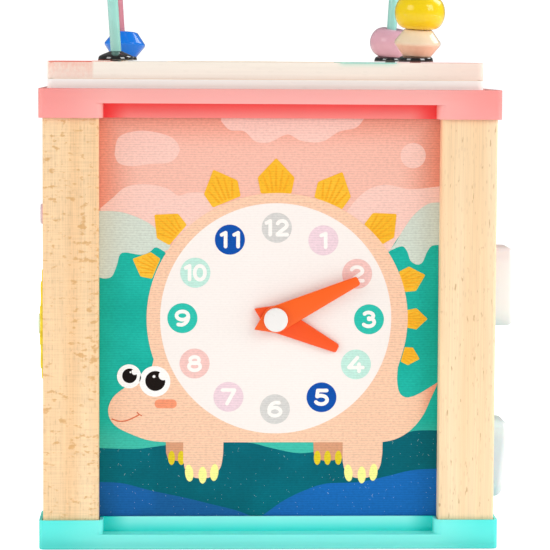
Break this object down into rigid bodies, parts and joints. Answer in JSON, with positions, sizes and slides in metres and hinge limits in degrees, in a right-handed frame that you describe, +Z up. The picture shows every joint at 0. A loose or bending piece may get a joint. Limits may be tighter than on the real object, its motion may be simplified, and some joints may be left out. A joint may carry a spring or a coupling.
{
  "type": "baby activity cube",
  "caption": "Wooden baby activity cube with a toy clock, meshing gears, track sliders and turning blocks on its sides and a bead maze on top.",
  "frame": {"origin": "centre of the underside, on the floor", "axes": "+Z up; the clock faces -Y, the gears -X, the sliders +X and the turning blocks +Y"},
  "size_m": [0.1729, 0.16, 0.2762],
  "materials": {
    "mint_plastic": "smooth",
    "pink_plastic": "smooth",
    "beech": "clear matt lacquer",
    "plywood": "matt",
    "printed_board": "printed, satin",
    "white_plastic": "smooth",
    "pin_plastic": "smooth",
    "red_orange_plastic": "smooth",
    "orange_plastic": "smooth",
    "yellow_plastic": "satin",
    "blue_plastic": "satin",
    "mauve_plastic": "satin",
    "mint_wire": "smooth coating",
    "pink_wire": "smooth coating",
    "black_plastic": "polished",
    "screw_steel": "plain",
    "teal_lacquer": "gloss lacquer",
    "sunny_lacquer": "gloss lacquer",
    "peach_lacquer": "gloss lacquer",
    "blue_lacquer": "gloss lacquer",
    "mauve_lacquer": "gloss lacquer",
    "green_lacquer": "gloss lacquer"
  },
  "bodies": {
    "cube": {"base_frame": "mint_plastic", "base_board": "plywood", "top_frame": "pink_plastic", "top_board": "plywood", "top_board_backing": "plywood", "post_front_left": "beech", "post_front_right": "beech", "post_back_right": "beech", "post_back_left": "beech", "base_screw_front_left": "screw_steel", "base_screw_front_right": "screw_steel", "base_screw_back_right": "screw_steel", "base_screw_back_left": "screw_steel", "top_screw_front_left": "screw_steel", "top_screw_front_right": "screw_steel", "top_screw_back_right": "screw_steel", "top_screw_back_left": "screw_steel", "front_panel": "printed_board", "left_panel": "printed_board", "right_panel": "printed_board", "back_panel": "printed_board", "clock_pin": "white_plastic", "clock_pin_lock": "white_plastic", "gear_front_pin": "pin_plastic", "gear_upper_pin": "pin_plastic", "gear_large_pin": "pin_plastic", "gear_front_lock": "white_plastic", "gear_upper_lock": "white_plastic", "gear_large_lock": "white_plastic", "block_rod": "beech", "block_rod_cleat_left": "beech", "block_rod_cleat_right": "beech", "maze_wire_wave": "mint_wire", "maze_wire_arch": "pink_wire", "wire_plug_front_left": "black_plastic", "wire_plug_front_right": "black_plastic", "wire_plug_back_right": "black_plastic", "wire_plug_back_left": "black_plastic"},
    "hour_hand": {"clock_hour_hand": "red_orange_plastic"},
    "minute_hand": {"clock_minute_hand": "orange_plastic"},
    "large_gear": {"gear_large": "blue_plastic"},
    "front_gear": {"gear_front": "yellow_plastic"},
    "upper_gear": {"gear_upper": "mauve_plastic"},
    "arch_knob": {"arch_slider": "white_plastic", "arch_slider_cap": "white_plastic"},
    "straight_knob": {"straight_slider": "white_plastic", "straight_slider_cap": "white_plastic"},
    "left_block": {"turning_block_left": "teal_lacquer"},
    "middle_block": {"turning_block_middle": "sunny_lacquer"},
    "right_block": {"turning_block_right": "peach_lacquer"},
    "blue_bead": {"bead_blue": "blue_lacquer"},
    "peach_bead": {"bead_peach": "peach_lacquer"},
    "yellow_bead": {"bead_yellow": "sunny_lacquer"},
    "mauve_bead": {"bead_mauve": "mauve_lacquer"},
    "green_bead": {"bead_green": "green_lacquer"}
  },
  "joints": [
    {"name": "hour_hand_turn", "type": "hinge", "parent": "cube", "child": "hour_hand", "pos_m": [0.0022, -0.0704, 0.0798], "axis": [0, -1, 0], "continuous": true},
    {"name": "minute_hand_turn", "type": "hinge", "parent": "cube", "child": "minute_hand", "pos_m": [0.0022, -0.0704, 0.0798], "axis": [0, -1, 0], "continuous": true},
    {"name": "large_gear_turn", "type": "hinge", "parent": "cube", "child": "large_gear", "pos_m": [-0.0704, 0.00657, 0.08446], "axis": [-1, 0, 0], "continuous": true},
    {"name": "front_gear_turn", "type": "hinge", "parent": "cube", "child": "front_gear", "pos_m": [-0.0704, -0.037, 0.0746], "axis": [-1, 0, 0], "continuous": true},
    {"name": "upper_gear_turn", "type": "hinge", "parent": "cube", "child": "upper_gear", "pos_m": [-0.0704, -0.0207, 0.1134], "axis": [-1, 0, 0], "continuous": true},
    {"name": "arch_knob_travel", "type": "hinge", "parent": "cube", "child": "arch_knob", "pos_m": [0.0704, 0, 0.0889], "axis": [-1, 0, 0], "range_deg": [0, 180]},
    {"name": "straight_knob_travel", "type": "slide", "parent": "cube", "child": "straight_knob", "axis": [0, 1, 0], "range_m": [-0.022, 0.054]},
    {"name": "left_block_turn", "type": "hinge", "parent": "cube", "child": "left_block", "pos_m": [0.0305, 0.064, 0.08], "axis": [1, 0, 0], "continuous": true},
    {"name": "middle_block_turn", "type": "hinge", "parent": "cube", "child": "middle_block", "pos_m": [0, 0.064, 0.08], "axis": [1, 0, 0], "continuous": true},
    {"name": "right_block_turn", "type": "hinge", "parent": "cube", "child": "right_block", "pos_m": [-0.0305, 0.064, 0.08], "axis": [1, 0, 0], "continuous": true},
    {"name": "blue_bead_lift", "type": "slide", "parent": "cube", "child": "blue_bead", "axis": [-0.0634, 0.0634, 0.996], "range_m": [0, 0.038]},
    {"name": "peach_bead_lift", "type": "slide", "parent": "cube", "child": "peach_bead", "axis": [0.0634, -0.0634, 0.996], "range_m": [0, 0.026]},
    {"name": "yellow_bead_lift", "type": "slide", "parent": "cube", "child": "yellow_bead", "axis": [0.0634, -0.0634, 0.996], "range_m": [0, 0.026]},
    {"name": "mauve_bead_lift", "type": "slide", "parent": "cube", "child": "mauve_bead", "axis": [0.0634, 0.0634, 0.996], "range_m": [0, 0.042]},
    {"name": "green_bead_roll", "type": "hinge", "parent": "cube", "child": "green_bead", "pos_m": [-0.0009, 0, 0.24494], "axis": [-0.7071, 0.7071, 0], "range_deg": [-15, 15]}
  ],
  "couplings": [
    {"joint": "front_gear_turn", "follows": "large_gear_turn", "ratio": -1.4545},
    {"joint": "upper_gear_turn", "follows": "large_gear_turn", "ratio": -2},
    {"joint": "yellow_bead_lift", "follows": "peach_bead_lift", "ratio": 1}
  ]
}
